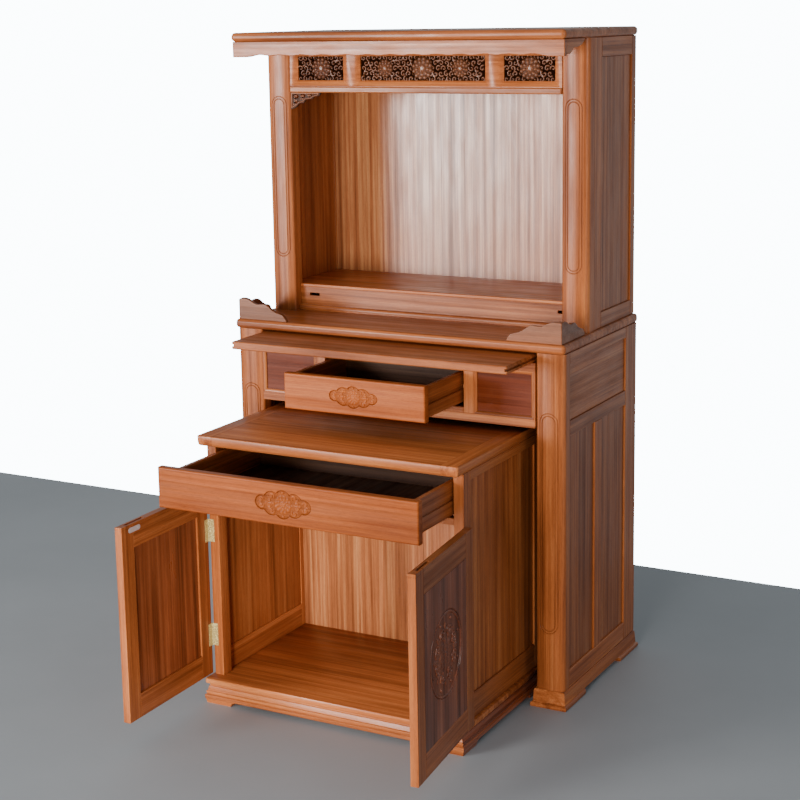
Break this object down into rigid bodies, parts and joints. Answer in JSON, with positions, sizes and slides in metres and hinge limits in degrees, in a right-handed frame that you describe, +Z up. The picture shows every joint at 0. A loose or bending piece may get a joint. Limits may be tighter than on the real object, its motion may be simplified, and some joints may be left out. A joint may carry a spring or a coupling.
{
  "type": "household altar cabinet",
  "caption": "Tall wooden altar cabinet with an open shrine case under a carved frieze, a sliding offering board, small drawer, and a pull-out cabinet with drawer and hinged doors.",
  "frame": {"origin": "on the floor, under the middle of the whole object's outline as it stands opened", "axes": "+X to the viewer's right from the front; +Y to the back; +Z up"},
  "size_m": [1.084, 1.3266, 1.89],
  "materials": {
    "lacquered_wood": "satin clear lacquer on reddish brown hardwood",
    "carved_wood": "satin lacquer, carved, darker in the ground",
    "plain_wood": "plain, lightly sealed",
    "brass": "dull polished"
  },
  "bodies": {
    "cabinet": {"plinth_left": "lacquered_wood", "lower_post_left": "lacquered_wood", "lower_side_left": "lacquered_wood", "drawer_partition_left": "plain_wood", "corner_gallery_left": "lacquered_wood", "upper_post_left": "lacquered_wood", "case_side_left": "lacquered_wood", "valance_return_left": "lacquered_wood", "plinth_right": "lacquered_wood", "lower_post_right": "lacquered_wood", "lower_side_right": "lacquered_wood", "drawer_partition_right": "plain_wood", "corner_gallery_right": "lacquered_wood", "upper_post_right": "lacquered_wood", "case_side_right": "lacquered_wood", "valance_return_right": "lacquered_wood", "lower_back": "plain_wood", "desktop": "lacquered_wood", "front_frame": "lacquered_wood", "dust_board": "plain_wood", "case_back": "lacquered_wood", "crown": "lacquered_wood", "valance_front": "lacquered_wood", "frieze_frame": "lacquered_wood", "frieze_panel_left": "carved_wood", "frieze_panel_middle": "carved_wood", "frieze_panel_right": "carved_wood", "frieze_rail": "lacquered_wood", "corner_bracket": "carved_wood", "niche_floor": "lacquered_wood", "niche_riser": "lacquered_wood", "niche_sill": "lacquered_wood"},
    "offering_board": {"offering_board": "lacquered_wood"},
    "small_drawer": {"small_drawer_front": "lacquered_wood", "small_drawer_wall_left": "plain_wood", "small_drawer_wall_right": "plain_wood", "small_drawer_bottom": "plain_wood", "small_drawer_back": "plain_wood"},
    "pullout_cabinet": {"pullout_top": "lacquered_wood", "pullout_side_left": "lacquered_wood", "pullout_side_right": "lacquered_wood", "pullout_back": "plain_wood", "pullout_rail": "lacquered_wood", "pullout_floor": "lacquered_wood", "pullout_plinth_front": "lacquered_wood", "pullout_plinth_left": "lacquered_wood", "pullout_plinth_right": "lacquered_wood", "hinge_left_upper": "brass", "hinge_left_lower": "brass", "hinge_right_upper": "brass", "hinge_right_lower": "brass"},
    "large_drawer": {"large_drawer_front": "lacquered_wood", "large_drawer_wall_left": "plain_wood", "large_drawer_wall_right": "plain_wood", "large_drawer_bottom": "plain_wood", "large_drawer_back": "plain_wood"},
    "door_left": {"door_left": "lacquered_wood"},
    "door_right": {"door_right": "lacquered_wood"}
  },
  "joints": [
    {"name": "offering_board_slide", "type": "slide", "parent": "cabinet", "child": "offering_board", "axis": [0, 1, 0], "range_m": [-0.09, 0.168]},
    {"name": "small_drawer_slide", "type": "slide", "parent": "cabinet", "child": "small_drawer", "axis": [0, 1, 0], "range_m": [-0.06, 0.231]},
    {"name": "pullout_slide", "type": "slide", "parent": "cabinet", "child": "pullout_cabinet", "axis": [0, 1, 0], "range_m": [-0.11, 0.406]},
    {"name": "large_drawer_slide", "type": "slide", "parent": "pullout_cabinet", "child": "large_drawer", "axis": [0, 1, 0], "range_m": [-0.17, 0.219]},
    {"name": "door_left_hinge", "type": "hinge", "parent": "pullout_cabinet", "child": "door_left", "pos_m": [-0.4052, -0.25973, 0.352], "axis": [0, 0, 1], "range_deg": [-81, 89]},
    {"name": "door_right_hinge", "type": "hinge", "parent": "pullout_cabinet", "child": "door_right", "pos_m": [0.4052, -0.25973, 0.352], "axis": [0, 0, -1], "range_deg": [-74, 96]}
  ]
}
